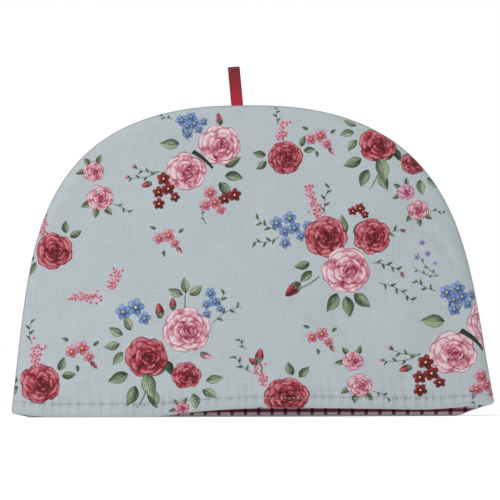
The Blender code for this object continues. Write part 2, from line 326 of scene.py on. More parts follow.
# a bouquet is its rows painted in turn, turned and scaled about its middle: leaves fan out by equal
# steps, and blossoms follow a sunflower's order, each 137.5 degrees on and further out by a square root
def paintBouquet(cloth, name, middleX, middleY, size, degrees):
    def reach(x, y, angle, far):
        x, y = x + far * math.cos(math.radians(angle)), y + far * math.sin(math.radians(angle))
        turn = math.radians(degrees)
        return (
            middleX + size * (x * math.cos(turn) - y * math.sin(turn)),
            middleY + size * (x * math.sin(turn) + y * math.cos(turn)),
        )

    for number, (kind, x, y, *row) in enumerate(bouquets[name]):
        seed = number * 7 + int(abs(middleX))
        start = reach(x, y, 0.0, 0.0)
        if kind == "rose":
            wide = row[0] * size
            paintRose(cloth, *start, wide, 0.92 * wide, 0.06 * wide, 0.0, row[1], seed)
        elif kind == "bud":
            paintBud(cloth, *start, row[1] * size, row[0] + degrees, row[2], seed)
        elif kind == "sprig":
            tip = reach(x, y, row[0], row[1])
            paintSprig(cloth, *start, *tip, 0.1 * row[1] * size, row[2], row[3] * size, row[4], seed)
        elif kind == "spray":
            paintSpray(cloth, *start, *reach(x, y, row[0], row[1]), row[2] * size, row[3], seed)
        elif kind in ("stem", "twig"):
            tip = reach(x, y, row[0], row[1])
            paintStroke(cloth, *start, *tip, 0.05 * row[1] * size, row[2] * size, kind)
        elif kind == "leaves":
            first, step, count, gap, long, tone = row
            for one in range(count):
                angle = first + step * one
                joint, tip = reach(x, y, angle, gap), reach(x, y, angle + 6.0, gap + long)
                paintLeaf(cloth, *joint, *tip, 0.55 * long * size, tone, seed + one)
        elif kind == "blossoms":
            spread, count, wide, tone = row
            for one in range(count):
                place = reach(x, y, 137.5 * one + 50.0, spread * math.sqrt((one + 0.2) / count))
                smaller = 1.0 - 0.12 * (one % 3)
                paintBlossom(cloth, *place, wide * smaller * size, tone, wide > 6, seed + one)


# the colours of the cloth at flat places in metres: the ground, then every bouquet over it, made linear
def printCloth(flatAcross, flatUp, places):
    cloth = {
        "x": (flatAcross.ravel() * 1000.0).astype(np.float32),
        "y": (flatUp.ravel() * 1000.0).astype(np.float32),
        "colour": np.tile(paint("ground"), (flatAcross.size, 1)),
    }
    for place in places:
        paintBouquet(cloth, *place)
    shown = np.clip(cloth["colour"], 0.0, 1.0)
    return np.where(shown > 0.04045, ((shown + 0.055) / 1.055) ** 2.4, shown / 12.92).astype(np.float32)


# the dome's own sizes, as its frame was made, in metres
dome = {
    "halfWidth": 0.181, "height": 0.235, "taper": 0.155, "sidePower": 2.42, "crownPower": 4.55,
    "shoulder": 0.84, "lean": 0.020, "seamGap": 0.0003, "rounding": 0.010, "puff": 0.007,
    "opening": 0.031, "openingPower": 1.1, "mouthPower": 0.9, "liftReach": 0.075,
}
# height of the hem's edge above the table, at places from -1 left to 1 right
frontLift = (
    (-1.00, 0.0030), (-0.90, 0.0012), (-0.80, 0.0000), (-0.42, 0.0000), (-0.28, 0.0030), (-0.05, 0.0060),
    (0.22, 0.0064), (0.50, 0.0056), (0.74, 0.0052), (0.90, 0.0075), (1.00, 0.0095),
)
backLift = ((-1.00, 0.0030), (-0.96, 0.0012), (-0.92, 0.0000), (0.84, 0.0000), (0.92, 0.0045), (1.00, 0.0095))


# half the dome's width at a height: the tapered width, rounded off towards the crown
def domeSide(height, inset=0.0):
    share = np.clip(height / (dome["height"] - inset), 0.0, 1.0)
    tapered = (dome["halfWidth"] - inset) * (1.0 - dome["taper"] * share)
    return tapered * (1.0 - share ** dome["crownPower"]) ** (1.0 / dome["sidePower"])


# the dome's height at a distance across, the same outline solved by repeated substitution
def domeCrown(across, inset=0.0):
    share = np.ones_like(across)
    for _ in range(12):
        tapered = (dome["halfWidth"] - inset) * (1.0 - dome["taper"] * share)
        filled = np.clip(np.abs(across) / tapered, 0.0, 1.0) ** dome["sidePower"]
        share = (1.0 - filled) ** (1.0 / dome["crownPower"])
    return share * (dome["height"] - inset)


# distance from the seam: what is left of one after the side's and the crown's powers, over its steepness
def seamDistance(across, height, inset=0.0):
    tall = dome["height"] - inset
    share = np.clip(height / tall, 0.0, 1.0)
    narrowing = 1.0 - dome["taper"] * share
    beside = np.abs(across) / ((dome["halfWidth"] - inset) * narrowing)
    side = beside ** dome["sidePower"]
    slopeAcross = dome["sidePower"] * beside ** (dome["sidePower"] - 1.0)
    slopeAcross = slopeAcross / ((dome["halfWidth"] - inset) * narrowing)
    slopeUp = dome["sidePower"] * side * dome["taper"] / (narrowing * tall)
    slopeUp = slopeUp + dome["crownPower"] * share ** (dome["crownPower"] - 1.0) / tall
    steepness = np.maximum(np.hypot(slopeAcross, slopeUp), 1.0 / tall)
    return np.clip(1.0 - side - share ** dome["crownPower"], 0.0, 1.0) / steepness


# depth of a layer: a puffed border beside the seam, and a mouth that opens towards the hem
def domeDepth(across, height, inset=0.0):
    border = np.clip(seamDistance(across, height, inset) / (dome["rounding"] - inset), 0.0, 1.0)
    puffed = (dome["puff"] - inset) * np.sqrt(1.0 - (1.0 - border) ** 2)
    share = np.clip(height / (dome["height"] - inset), 0.0, 1.0)
    wide = np.maximum(domeSide(height, inset), inset + dome["seamGap"])
    beside = np.clip(np.abs(across) / wide, 0.0, 1.0)
    mouth = dome["opening"] * (1.0 - share) ** dome["openingPower"] * (1.0 - beside**2) ** dome["mouthPower"]
    return 0.5 * dome["seamGap"] + puffed + mouth


# height of the hem's edge: cubic pieces through the table, level where it touches the table
def hemLift(across, table):
    places, lifts = np.array(table).T
    slopes = np.gradient(lifts, places)
    slopes[lifts == 0.0] = 0.0
    place = np.clip(across / dome["halfWidth"], -1.0, 1.0)
    after = np.clip(np.searchsorted(places, place, side="right"), 1, len(places) - 1)
    before = after - 1
    span = places[after] - places[before]
    share = (place - places[before]) / span
    left = (1.0 + 2.0 * share) * (1.0 - share) ** 2 * lifts[before]
    right = share**2 * (3.0 - 2.0 * share) * lifts[after]
    bend = share * (1.0 - share) * ((1.0 - share) * slopes[before] - share * slopes[after]) * span
    return np.maximum(left + right + bend, 0.0)


# a lifted point rises with the hem below it, less and less higher up, and the dome leans as it rises
def stand(across, depth, height, side, table):
    fade = np.clip(1.0 - height / dome["liftReach"], 0.0, 1.0) ** 2
    lifted = height + hemLift(across, table) * fade
    return np.stack([across - dome["lean"] * lifted, side * depth, lifted], axis=-1)


# a grid over the dome: level rows at the hem that turn by degrees into rows that follow the crown
def domeGrid(places, rises, inset=0.0):
    place, rise = np.meshgrid(places, rises)
    tall = dome["height"] - inset
    shoulderHeight = dome["shoulder"] * tall
    shoulderWidth = domeSide(shoulderHeight, inset)
    bent = rise**2
    sideHeight = rise * (tall * (1.0 - bent) + shoulderHeight * bent)
    height = rise * (tall * (1.0 - bent) + domeCrown(place * shoulderWidth, inset) * bent)
    return place * domeSide(sideHeight, inset), height


# steps from low to high that are closer together near the ends named, by summing uneven strides
def unevenSteps(low, high, count, reach, gain, bothEnds):
    middles = (np.arange(count) + 0.5) / count
    near = np.exp(-(1.0 - middles) / reach)
    if bothEnds:
        near = near + np.exp(-middles / reach)
    strides = 1.0 / (1.0 + gain * near)
    return low + (high - low) * np.concatenate([[0.0], np.cumsum(strides)]) / strides.sum()


# quads of a grid of points, counterclockwise seen from the front
def gridQuads(rows, columns, start=0):
    corner = start + np.arange(rows - 1)[:, None] * columns + np.arange(columns - 1)[None, :]
    return np.stack([corner, corner + 1, corner + columns + 1, corner + columns], axis=-1).reshape(-1, 4)


# the border of a grid as one loop of point numbers: along the hem, up the right, back over the top, down the left
def gridBorder(rows, columns, start=0):
    number = start + np.arange(rows * columns).reshape(rows, columns)
    return np.concatenate([number[0, :-1], number[:-1, -1], number[-1, :0:-1], number[:0:-1, 0]])


# one object from points and faces, turned inside out if asked, with its material
def addPiece(name, points, faces, material, turned=False):
    faces = [face[:, ::-1].tolist() if turned else face.tolist() for face in faces]
    mesh = bpy.data.meshes.new(name)
    mesh.from_pydata(points.reshape(-1, 3).tolist(), [], sum(faces, []))
    mesh.update()
    mesh.shade_smooth()
    mesh.materials.append(material)
    piece = bpy.data.objects.new(name, mesh)
    bpy.context.scene.collection.objects.link(piece)
    return piece


# a value per point, kept on the mesh for its material
def keepNumbers(piece, name, kind, domain, field, values):
    layer = piece.data.attributes.new(name, kind, domain)
    layer.data.foreach_set(field, np.ascontiguousarray(values, np.float32).ravel())


# a two-part place per point, spread to the corners of the faces as a UV map
def keepPlaces(piece, name, places):
    corners = np.empty(len(piece.data.loops), np.int32)
    piece.data.loops.foreach_get("vertex_index", corners)
    layer = piece.data.uv_layers.new(name=name)
    layer.data.foreach_set("uv", places.reshape(-1, 2)[corners].astype(np.float32).ravel())


# groups and materials are built from a short list of nodes by these three helpers
def addNode(tree, kind, settings=None, **inputs):
    node = tree.nodes.new(kind)
    for name, value in (settings or {}).items():
        setattr(node, name, value)
    for name, value in inputs.items():
        socket = node.inputs[int(name[1:]) if name[1:].isdigit() else name]
        if isinstance(value, bpy.types.NodeSocket):
            tree.links.new(value, socket)
        else:
            socket.default_value = value
    return node


def mathNode(tree, operation, first, second=0.0, third=0.0, clamp=False):
    settings = {"operation": operation, "use_clamp": clamp}
    return addNode(tree, "ShaderNodeMath", settings, i0=first, i1=second, i2=third).outputs[0]


def mixColour(tree, factor, first, second, blend="MIX"):
    settings = {"data_type": "RGBA", "blend_type": blend}
    return addNode(tree, "ShaderNodeMix", settings, i0=factor, i6=first, i7=second).outputs[2]


def newGroup(name, inputs, outputs):
    tree = bpy.data.node_groups.new(name, "ShaderNodeTree")
    for socketName, kind, value in inputs:
        socket = tree.interface.new_socket(socketName, in_out="INPUT", socket_type=kind)
        if value is not None:
            socket.default_value = value
    for socketName, kind in outputs:
        tree.interface.new_socket(socketName, in_out="OUTPUT", socket_type=kind)
    return tree, tree.nodes.new("NodeGroupInput"), tree.nodes.new("NodeGroupOutput")


def useGroup(tree, group, **inputs):
    node = tree.nodes.new("ShaderNodeGroup")
    node.node_tree = group
    for name, value in inputs.items():
        if isinstance(value, bpy.types.NodeSocket):
            tree.links.new(value, node.inputs[name])
        else:
            node.inputs[name].default_value = value
    return node


def newMaterial(name, roughness, sheen, sheenTint):
    material = bpy.data.materials.new(name)
    material.use_nodes = True
    tree = material.node_tree
    shader = tree.nodes["Principled BSDF"]
    shader.inputs["Roughness"].default_value = roughness
    shader.inputs["Specular IOR Level"].default_value = 0.25
    shader.inputs["Sheen Weight"].default_value = sheen
    shader.inputs["Sheen Roughness"].default_value = 0.5
    shader.inputs["Sheen Tint"].default_value = (*sheenTint, 1.0)
    return material, tree, shader


# plain weave: warp and weft are rounded threads, and a chequer says which lies on top
def makeWeaveGroup():
    tree, given, made = newGroup(
        "plainWeave",
        [("Place", "NodeSocketVector", None), ("Threads", "NodeSocketFloat", 2200.0)],
        [("Height", "NodeSocketFloat"), ("Gap", "NodeSocketFloat")],
    )
    scaled = addNode(tree, "ShaderNodeVectorMath", {"operation": "SCALE"}, i0=given.outputs["Place"],
                     Scale=given.outputs["Threads"])
    split = addNode(tree, "ShaderNodeSeparateXYZ", None, i0=scaled.outputs[0])
    waves = []
    for socket in ("X", "Y"):
        turned = mathNode(tree, "MULTIPLY", split.outputs[socket], math.pi)
        waves.append(mathNode(tree, "SINE", turned))
    warp = mathNode(tree, "ABSOLUTE", waves[0])
    weft = mathNode(tree, "ABSOLUTE", waves[1])
    chequer = mathNode(tree, "MULTIPLY", waves[0], waves[1])
    upper = mathNode(tree, "MULTIPLY_ADD", chequer, 3.0, 0.5, clamp=True)
    height = addNode(tree, "ShaderNodeMix", {"data_type": "FLOAT"}, i0=upper, i2=warp, i3=weft).outputs[0]
    gap = mathNode(tree, "MULTIPLY", mathNode(tree, "SUBTRACT", 1.0, warp), mathNode(tree, "SUBTRACT", 1.0, weft))
    tree.links.new(height, made.inputs["Height"])
    tree.links.new(gap, made.inputs["Gap"])
    return tree


# uneven cloth: broad pale and dull patches and fine flecks, as one brightness about one
def makeClothToneGroup():
    tree, given, made = newGroup(
        "clothTone",
        [("Place", "NodeSocketVector", None), ("Patch", "NodeSocketFloat", 0.05), ("Fleck", "NodeSocketFloat", 0.04)],
        [("Tone", "NodeSocketFloat"), ("Nap", "NodeSocketFloat")],
    )
    broad = addNode(tree, "ShaderNodeTexNoise", None, Vector=given.outputs["Place"], Scale=22.0, Detail=3.0)
    fine = addNode(tree, "ShaderNodeTexNoise", None, Vector=given.outputs["Place"], Scale=1400.0, Detail=2.0)
    slubs = []
    for stretch in ((900.0, 60.0, 1.0), (60.0, 900.0, 1.0)):
        pulled = addNode(tree, "ShaderNodeVectorMath", {"operation": "MULTIPLY"}, i0=given.outputs["Place"], i1=stretch)
        slubs.append(addNode(tree, "ShaderNodeTexNoise", None, Vector=pulled.outputs[0], Scale=1.0, Detail=1.0).outputs[0])
    slub = mathNode(tree, "SUBTRACT", mathNode(tree, "ADD", slubs[0], slubs[1]), 1.0)
    patch = mathNode(tree, "MULTIPLY", mathNode(tree, "SUBTRACT", broad.outputs[0], 0.5), given.outputs["Patch"])
    patch = mathNode(tree, "MULTIPLY_ADD", slub, given.outputs["Fleck"], patch)
    fleck = mathNode(tree, "MULTIPLY", mathNode(tree, "SUBTRACT", fine.outputs[0], 0.5), given.outputs["Fleck"])
    tree.links.new(mathNode(tree, "ADD", mathNode(tree, "ADD", patch, fleck), 1.0), made.inputs["Tone"])
    tree.links.new(fine.outputs[0], made.inputs["Nap"])
    return tree


weaveGroup = makeWeaveGroup()
clothToneGroup = makeClothToneGroup()

printedCotton = {"threads": 2600.0, "weaveDepth": 0.00006, "roughness": 0.82, "sheen": 0.12, "cells": 3}


# printed cotton: each face keeps a three by three block of print, blended between the block's middles
def makePrintedCotton():
    material, tree, shader = newMaterial("printedCotton", printedCotton["roughness"], printedCotton["sheen"], (1, 1, 1))
    corner = addNode(tree, "ShaderNodeUVMap", {"uv_map": "cell"})
    split = addNode(tree, "ShaderNodeSeparateXYZ", None, i0=corner.outputs[0])
    steps = {}
    for socket in ("X", "Y"):
        for part in (0, 1):
            start = (2 * part + 1) / 6.0
            moved = mathNode(tree, "SUBTRACT", split.outputs[socket], start)
            steps[socket, part] = mathNode(tree, "MULTIPLY", moved, 3.0, clamp=True)
    rows = []
    for row in range(3):
        cells = []
        for column in range(3):
            cell = addNode(tree, "ShaderNodeAttribute", {"attribute_name": "print%d" % (3 * row + column)})
            cells.append(cell.outputs["Color"])
        left = mixColour(tree, steps["X", 0], cells[0], cells[1])
        rows.append(mixColour(tree, steps["X", 1], left, cells[2]))
    lower = mixColour(tree, steps["Y", 0], rows[0], rows[1])
    colour = mixColour(tree, steps["Y", 1], lower, rows[2])
    cloth = addNode(tree, "ShaderNodeUVMap", {"uv_map": "cloth"})
    tone = useGroup(tree, clothToneGroup, Place=cloth.outputs[0], Patch=0.14, Fleck=0.16)
    weave = useGroup(tree, weaveGroup, Place=cloth.outputs[0], Threads=printedCotton["threads"])
    shade = addNode(tree, "ShaderNodeAttribute", {"attribute_name": "shade"})
    # painted shade darkens the gaps between the threads
    threads = mathNode(tree, "MULTIPLY_ADD", weave.outputs["Gap"], -0.12, 1.0)
    brightness = mathNode(tree, "MULTIPLY", mathNode(tree, "MULTIPLY", tone.outputs["Tone"], threads), shade.outputs["Fac"])
    toned = addNode(tree, "ShaderNodeVectorMath", {"operation": "SCALE"}, i0=colour, Scale=brightness)
    tree.links.new(toned.outputs[0], shader.inputs["Base Color"])
    height = mathNode(tree, "MULTIPLY_ADD", tone.outputs["Nap"], 0.5, weave.outputs["Height"])
    bump = addNode(tree, "ShaderNodeBump", None, Strength=0.35, Distance=printedCotton["weaveDepth"], Height=height)
    tree.links.new(bump.outputs[0], shader.inputs["Normal"])
    rough = mathNode(tree, "MULTIPLY_ADD", tone.outputs["Nap"], 0.16, printedCotton["roughness"] - 0.08)
    tree.links.new(rough, shader.inputs["Roughness"])
    return material


# check: repeat, and the white, pink and maroon of where none, one and both stripes cross
checkedCotton = {
    "repeat": 0.0104, "stripe": 0.26, "threads": 2400.0, "roughness": 0.86,
    "white": (0.74, 0.69, 0.71, 1.0), "pink": (0.27, 0.055, 0.088, 1.0), "maroon": (0.075, 0.009, 0.020, 1.0),
}


# checked cotton: a stripe in each direction repeats along the cloth, and where both cross it is darkest
def makeCheckedCotton():
    material, tree, shader = newMaterial("checkedCotton", checkedCotton["roughness"], 0.1, (1, 0.9, 0.9))
    cloth = addNode(tree, "ShaderNodeUVMap", {"uv_map": "cloth"})
    split = addNode(tree, "ShaderNodeSeparateXYZ", None, i0=cloth.outputs[0])
    stripes = []
    for socket in ("X", "Y"):
        along = mathNode(tree, "MULTIPLY", split.outputs[socket], 1.0 / checkedCotton["repeat"])
        saw = mathNode(tree, "FRACT", along)
        off = mathNode(tree, "ABSOLUTE", mathNode(tree, "SUBTRACT", saw, 0.5))
        edge = mathNode(tree, "SUBTRACT", 0.5 * checkedCotton["stripe"], off)
        stripes.append(mathNode(tree, "MULTIPLY_ADD", edge, 40.0, 0.5, clamp=True))
    either = mathNode(tree, "MAXIMUM", stripes[0], stripes[1])
    both = mathNode(tree, "MULTIPLY", stripes[0], stripes[1])
    colour = mixColour(tree, either, checkedCotton["white"], checkedCotton["pink"])
    colour = mixColour(tree, both, colour, checkedCotton["maroon"])
    tone = useGroup(tree, clothToneGroup, Place=cloth.outputs[0], Patch=0.08, Fleck=0.12)
    weave = useGroup(tree, weaveGroup, Place=cloth.outputs[0], Threads=checkedCotton["threads"])
    # painted shade darkens the gaps between the threads, over the cloth's uneven tone
    threads = mathNode(tree, "MULTIPLY_ADD", weave.outputs["Gap"], -0.15, tone.outputs["Tone"])
    toned = addNode(tree, "ShaderNodeVectorMath", {"operation": "SCALE"}, i0=colour, Scale=threads)
    tree.links.new(toned.outputs[0], shader.inputs["Base Color"])
    bump = addNode(tree, "ShaderNodeBump", None, Strength=0.4, Distance=0.00008, Height=weave.outputs["Height"])
    tree.links.new(bump.outputs[0], shader.inputs["Normal"])
    rough = mathNode(tree, "MULTIPLY_ADD", tone.outputs["Nap"], 0.14, checkedCotton["roughness"] - 0.07)
    tree.links.new(rough, shader.inputs["Roughness"])
    return material


# the ribbon's ribs and finish, and its red low on the loop, then darker with painted shade higher up towards the fold
redRibbon = {
    "ribs": 1500.0, "roughness": 0.42, "sheen": 0.2,
    "low": (0.440, 0.012, 0.035, 1.0), "mid": (0.250, 0.009, 0.014, 1.0), "high": (0.150, 0.004, 0.011, 1.0),
}


# ribbon: fine ribs run across it with painted light and shade on them, its edges are darker with painted shade, and its
# red darkens towards the fold as painted shade
def makeRedRibbon():
    material, tree, shader = newMaterial("redRibbon", redRibbon["roughness"], redRibbon["sheen"], (1, 0.5, 0.5))
    cloth = addNode(tree, "ShaderNodeUVMap", {"uv_map": "cloth"})
    split = addNode(tree, "ShaderNodeSeparateXYZ", None, i0=cloth.outputs[0])
    rise = addNode(tree, "ShaderNodeAttribute", {"attribute_name": "rise"}).outputs["Fac"]
    beside = addNode(tree, "ShaderNodeAttribute", {"attribute_name": "beside"}).outputs["Fac"]
    # painted shade: the red darkens as the loop rises to its fold
    colour = mixColour(tree, mathNode(tree, "MULTIPLY", rise, 2.0, clamp=True), redRibbon["low"], redRibbon["mid"])
    upper = mathNode(tree, "MULTIPLY_ADD", rise, 3.0, -1.6, clamp=True)
    colour = mixColour(tree, upper, colour, redRibbon["high"])
    ribs = mathNode(tree, "SINE", mathNode(tree, "MULTIPLY", split.outputs["Y"], redRibbon["ribs"] * 2.0 * math.pi))
    # painted shade darkens both edges of the ribbon
    edge = mathNode(tree, "MULTIPLY", mathNode(tree, "POWER", beside, 6.0), -0.45)
    tone = useGroup(tree, clothToneGroup, Place=cloth.outputs[0], Patch=0.2, Fleck=0.2)
    # painted light and shade follow the ribs, over the cloth's uneven tone
    toneAndRibShade = mathNode(tree, "MULTIPLY_ADD", ribs, 0.08, tone.outputs["Tone"])
    toned = addNode(tree, "ShaderNodeVectorMath", {"operation": "SCALE"}, i0=colour, Scale=mathNode(tree, "ADD", toneAndRibShade, edge))
    tree.links.new(toned.outputs[0], shader.inputs["Base Color"])
    bump = addNode(tree, "ShaderNodeBump", None, Strength=0.5, Distance=0.0001, Height=ribs)
    tree.links.new(bump.outputs[0], shader.inputs["Normal"])
    rough = mathNode(tree, "MULTIPLY_ADD", tone.outputs["Nap"], 0.2, redRibbon["roughness"] - 0.1)
    tree.links.new(rough, shader.inputs["Roughness"])
    return material


# sewing thread: pale, with a twist of two strands along its length
def makeSewingThread():
    material, tree, shader = newMaterial("sewingThread", 0.6, 0.1, (1, 1, 1))
    cloth = addNode(tree, "ShaderNodeUVMap", {"uv_map": "cloth"})
    split = addNode(tree, "ShaderNodeSeparateXYZ", None, i0=cloth.outputs[0])
    slanted = mathNode(tree, "ADD", split.outputs["X"], mathNode(tree, "MULTIPLY", split.outputs["Y"], 3.0))
    twist = mathNode(tree, "SINE", mathNode(tree, "MULTIPLY", slanted, 2.0 * math.pi))
    shadeValue = mathNode(tree, "MULTIPLY_ADD", twist, 0.12, 0.86)
    toned = addNode(tree, "ShaderNodeVectorMath", {"operation": "SCALE"}, i0=(0.74, 0.76, 0.77), Scale=shadeValue)
    tree.links.new(toned.outputs[0], shader.inputs["Base Color"])
    bump = addNode(tree, "ShaderNodeBump", None, Strength=0.5, Distance=0.00008, Height=twist)
    tree.links.new(bump.outputs[0], shader.inputs["Normal"])
    return material


materials = {
    "printed": makePrintedCotton(), "checked": makeCheckedCotton(),
    "ribbon": makeRedRibbon(), "thread": makeSewingThread(),
}
print("materials made")

panel = {
    "columns": 376, "faceRows": 240, "hemRows": 8, "coarse": 8, "padding": 0.004, "coarseInset": 0.0032,
    "hemRadius": 0.0020, "stitchHeight": 0.0088, "grooveDepth": 0.0010, "grooveWidth": 0.0009, "bandPuff": 0.0019,
    "bulgeStretch": 0.65, "borderStretch": 0.0035, "seamDark": 0.0015,
}
# puckers above and in the hem: middle and half length along the hem, depth; creases: start x, z, end x, z, width, depth
frontPuckers = ((-0.078, 0.045, 0.0007), (0.114, 0.026, 0.0007), (0.03, 0.05, 0.0003), (-0.15, 0.02, 0.0004))
backPuckers = ((-0.100, 0.05, 0.0005), (0.06, 0.06, 0.0006), (0.15, 0.02, 0.0003))
frontCreases = (
    (0.112, 0.148, 0.152, 0.116, 0.0035, 0.0013), (0.124, 0.156, 0.160, 0.132, 0.0030, 0.0011),
    (0.100, 0.132, 0.128, 0.112, 0.0035, 0.0004), (-0.118, 0.120, -0.150, 0.098, 0.0040, 0.0004),
    (-0.060, 0.030, -0.090, 0.014, 0.0030, 0.0004), (0.118, 0.032, 0.096, 0.014, 0.0030, 0.0005),
)
backCreases = (
    (-0.112, 0.160, -0.150, 0.130, 0.0035, 0.0007), (0.060, 0.060, 0.100, 0.030, 0.0040, 0.0005),
    (-0.040, 0.050, -0.070, 0.018, 0.0035, 0.0005), (0.128, 0.150, 0.150, 0.110, 0.0035, 0.0005),
)


# a crease is a soft trough: bell-shaped across its line, fading at both ends
def creaseDepth(across, height, creases):
    total = np.zeros_like(across)
    for startX, startZ, endX, endZ, width, depth in creases:
        length = math.hypot(endX - startX, endZ - startZ)
        turn = math.atan2(endZ - startZ, endX - startX)
        along = ((across - startX) * math.cos(turn) + (height - startZ) * math.sin(turn)) / length
        beside = (height - startZ) * math.cos(turn) - (across - startX) * math.sin(turn)
        bowed = beside - 0.10 * length * np.sin(math.pi * np.clip(along, 0.0, 1.0))
        ends = ease(-0.25, 0.3, along) * (1.0 - ease(0.7, 1.25, along))
        trough = np.exp(-((bowed / width) ** 2)) - 0.45 * np.exp(-(((bowed - 1.9 * width) / width) ** 2))
        total += depth * ends * trough
    return total


# the sewn surface over the plain dome: a puffed hem band, the stitched groove, puckers that fade away from
# it, ripples beside the dome's seam, creases, and the wadding's slow unevenness
def sewnRelief(across, height, puckers, creases, phase):
    band = np.clip(height / panel["stitchHeight"], 0.0, 1.0)
    relief = panel["bandPuff"] * np.sin(math.pi * band)
    fromStitch = height - panel["stitchHeight"]
    relief -= panel["grooveDepth"] * np.exp(-((fromStitch / panel["grooveWidth"]) ** 2))
    wander = 0.6 * np.sin(90.0 * across + phase) + 0.4 * np.sin(231.0 * across + 2.0 * phase)
    ripple = np.sin(820.0 * across + 2.4 * wander + 55.0 * height) + 0.5 * np.sin(1950.0 * across + 5.0 * wander)
    strength = np.full_like(across, 0.00052)
    for middle, half, depth in puckers:
        strength += depth * np.exp(-(((across - middle) / half) ** 2))
    relief += strength * ripple * np.exp(-np.abs(fromStitch) / 0.0065)
    fromSeam = seamDistance(across, height)
    seamRun = across * 1.0 + height * np.sign(across)
    beside = 0.00022 * np.sin(760.0 * seamRun + 1.5 * wander) * np.exp(-fromSeam / 0.006) * ease(0.0, 0.002, fromSeam)
    slow = np.sin(41.0 * across + phase) * np.sin(53.0 * height + 1.3 + phase)
    slow += 0.6 * np.sin(97.0 * across - 60.0 * height + 2.0 * phase)
    inner = ease(0.004, 0.030, fromSeam)
    return relief * ease(0.0, 0.004, fromSeam) + beside + 0.0005 * slow * inner - creaseDepth(across, height, creases)


# the outer face of a panel as grid points, its places on the flat cloth, and a shade for hollows:
# a half-round hem from the inner edge to the outer, then the face up to the seam
def panelFace(side, table, puckers, creases, phase):
    places = unevenSteps(-1.0, 1.0, panel["columns"], 0.045, 1.1, True)
    rises = unevenSteps(panel["hemRadius"] / dome["height"], 1.0, panel["faceRows"], 0.06, 1.1, False)
    across, height = domeGrid(places, rises)
    depth = domeDepth(across, height) + sewnRelief(across, height, puckers, creases, phase)
    depth = np.maximum(depth, 0.5 * dome["seamGap"])
    innerAcross, innerHeight = domeGrid(places, rises[:1], panel["padding"])
    innerDepth = domeDepth(innerAcross, innerHeight, panel["padding"])
    turn = np.linspace(math.pi, 0.0, panel["hemRows"] + 1)[:-1, None]
    middle = 0.5 * np.stack([across[0] + innerAcross[0], depth[0] + innerDepth[0]])
    half = 0.5 * np.stack([across[0] - innerAcross[0], depth[0] - innerDepth[0]])
    rolled = middle[:, None, :] + half[:, None, :] * np.cos(turn)
    rolledHeight = panel["hemRadius"] * (1.0 - np.sin(turn)) * np.ones_like(rolled[0])
    flatAcross, flatUp = flatPlaces(across, height, depth)
    rollFlat = panel["hemRadius"] * (1.0 - turn) * np.ones_like(rolledHeight)
    across = np.concatenate([rolled[0], across])
    depth = np.concatenate([rolled[1], depth])
    height = np.concatenate([rolledHeight, height])
    flatAcross = np.concatenate([np.repeat(flatAcross[:1], panel["hemRows"], axis=0), flatAcross])
    flatUp = np.concatenate([rollFlat, flatUp])
    points = stand(across, depth, height, side, table)
    fromSeam = seamDistance(across, np.maximum(height, 0.0))
    shade = 0.30 + 0.70 * ease(0.0, panel["seamDark"], fromSeam)
    shade = shade * (1.0 - 0.04 * np.exp(-(((height - panel["stitchHeight"]) / 0.0008) ** 2)))
    shade = shade * (1.0 - 0.02 * (1.0 - ease(0.0, panel["stitchHeight"], height)))
    return points, flatAcross, flatUp, shade


# where a point of the face lies on the cloth laid flat: further out as the face bulges, and further out
# again on the rounded border, which turns away to the seam
def flatPlaces(across, height, depth):
    spread = 1.0 + panel["bulgeStretch"] * depth
    fromSeam = np.clip(seamDistance(across, height) / dome["rounding"], 0.0, 1.0)
    pushed = panel["borderStretch"] * (1.0 - fromSeam) ** 2.5
    radius = np.hypot(across, height) + 1e-6
    leaned = across - dome["lean"] * height
    return leaned * spread + pushed * across / radius, height * spread + pushed * height / radius


# the middles of a three by three block in every quad of a grid, row by row within the quad
def cellMiddles(grid):
    cells = []
    for up in (1, 3, 5):
        for right in (1, 3, 5):
            u, v = right / 6.0, up / 6.0
            lower = grid[:-1, :-1] * (1.0 - u) + grid[:-1, 1:] * u
            upper = grid[1:, :-1] * (1.0 - u) + grid[1:, 1:] * u
            cells.append(lower * (1.0 - v) + upper * v)
    return np.stack(cells)


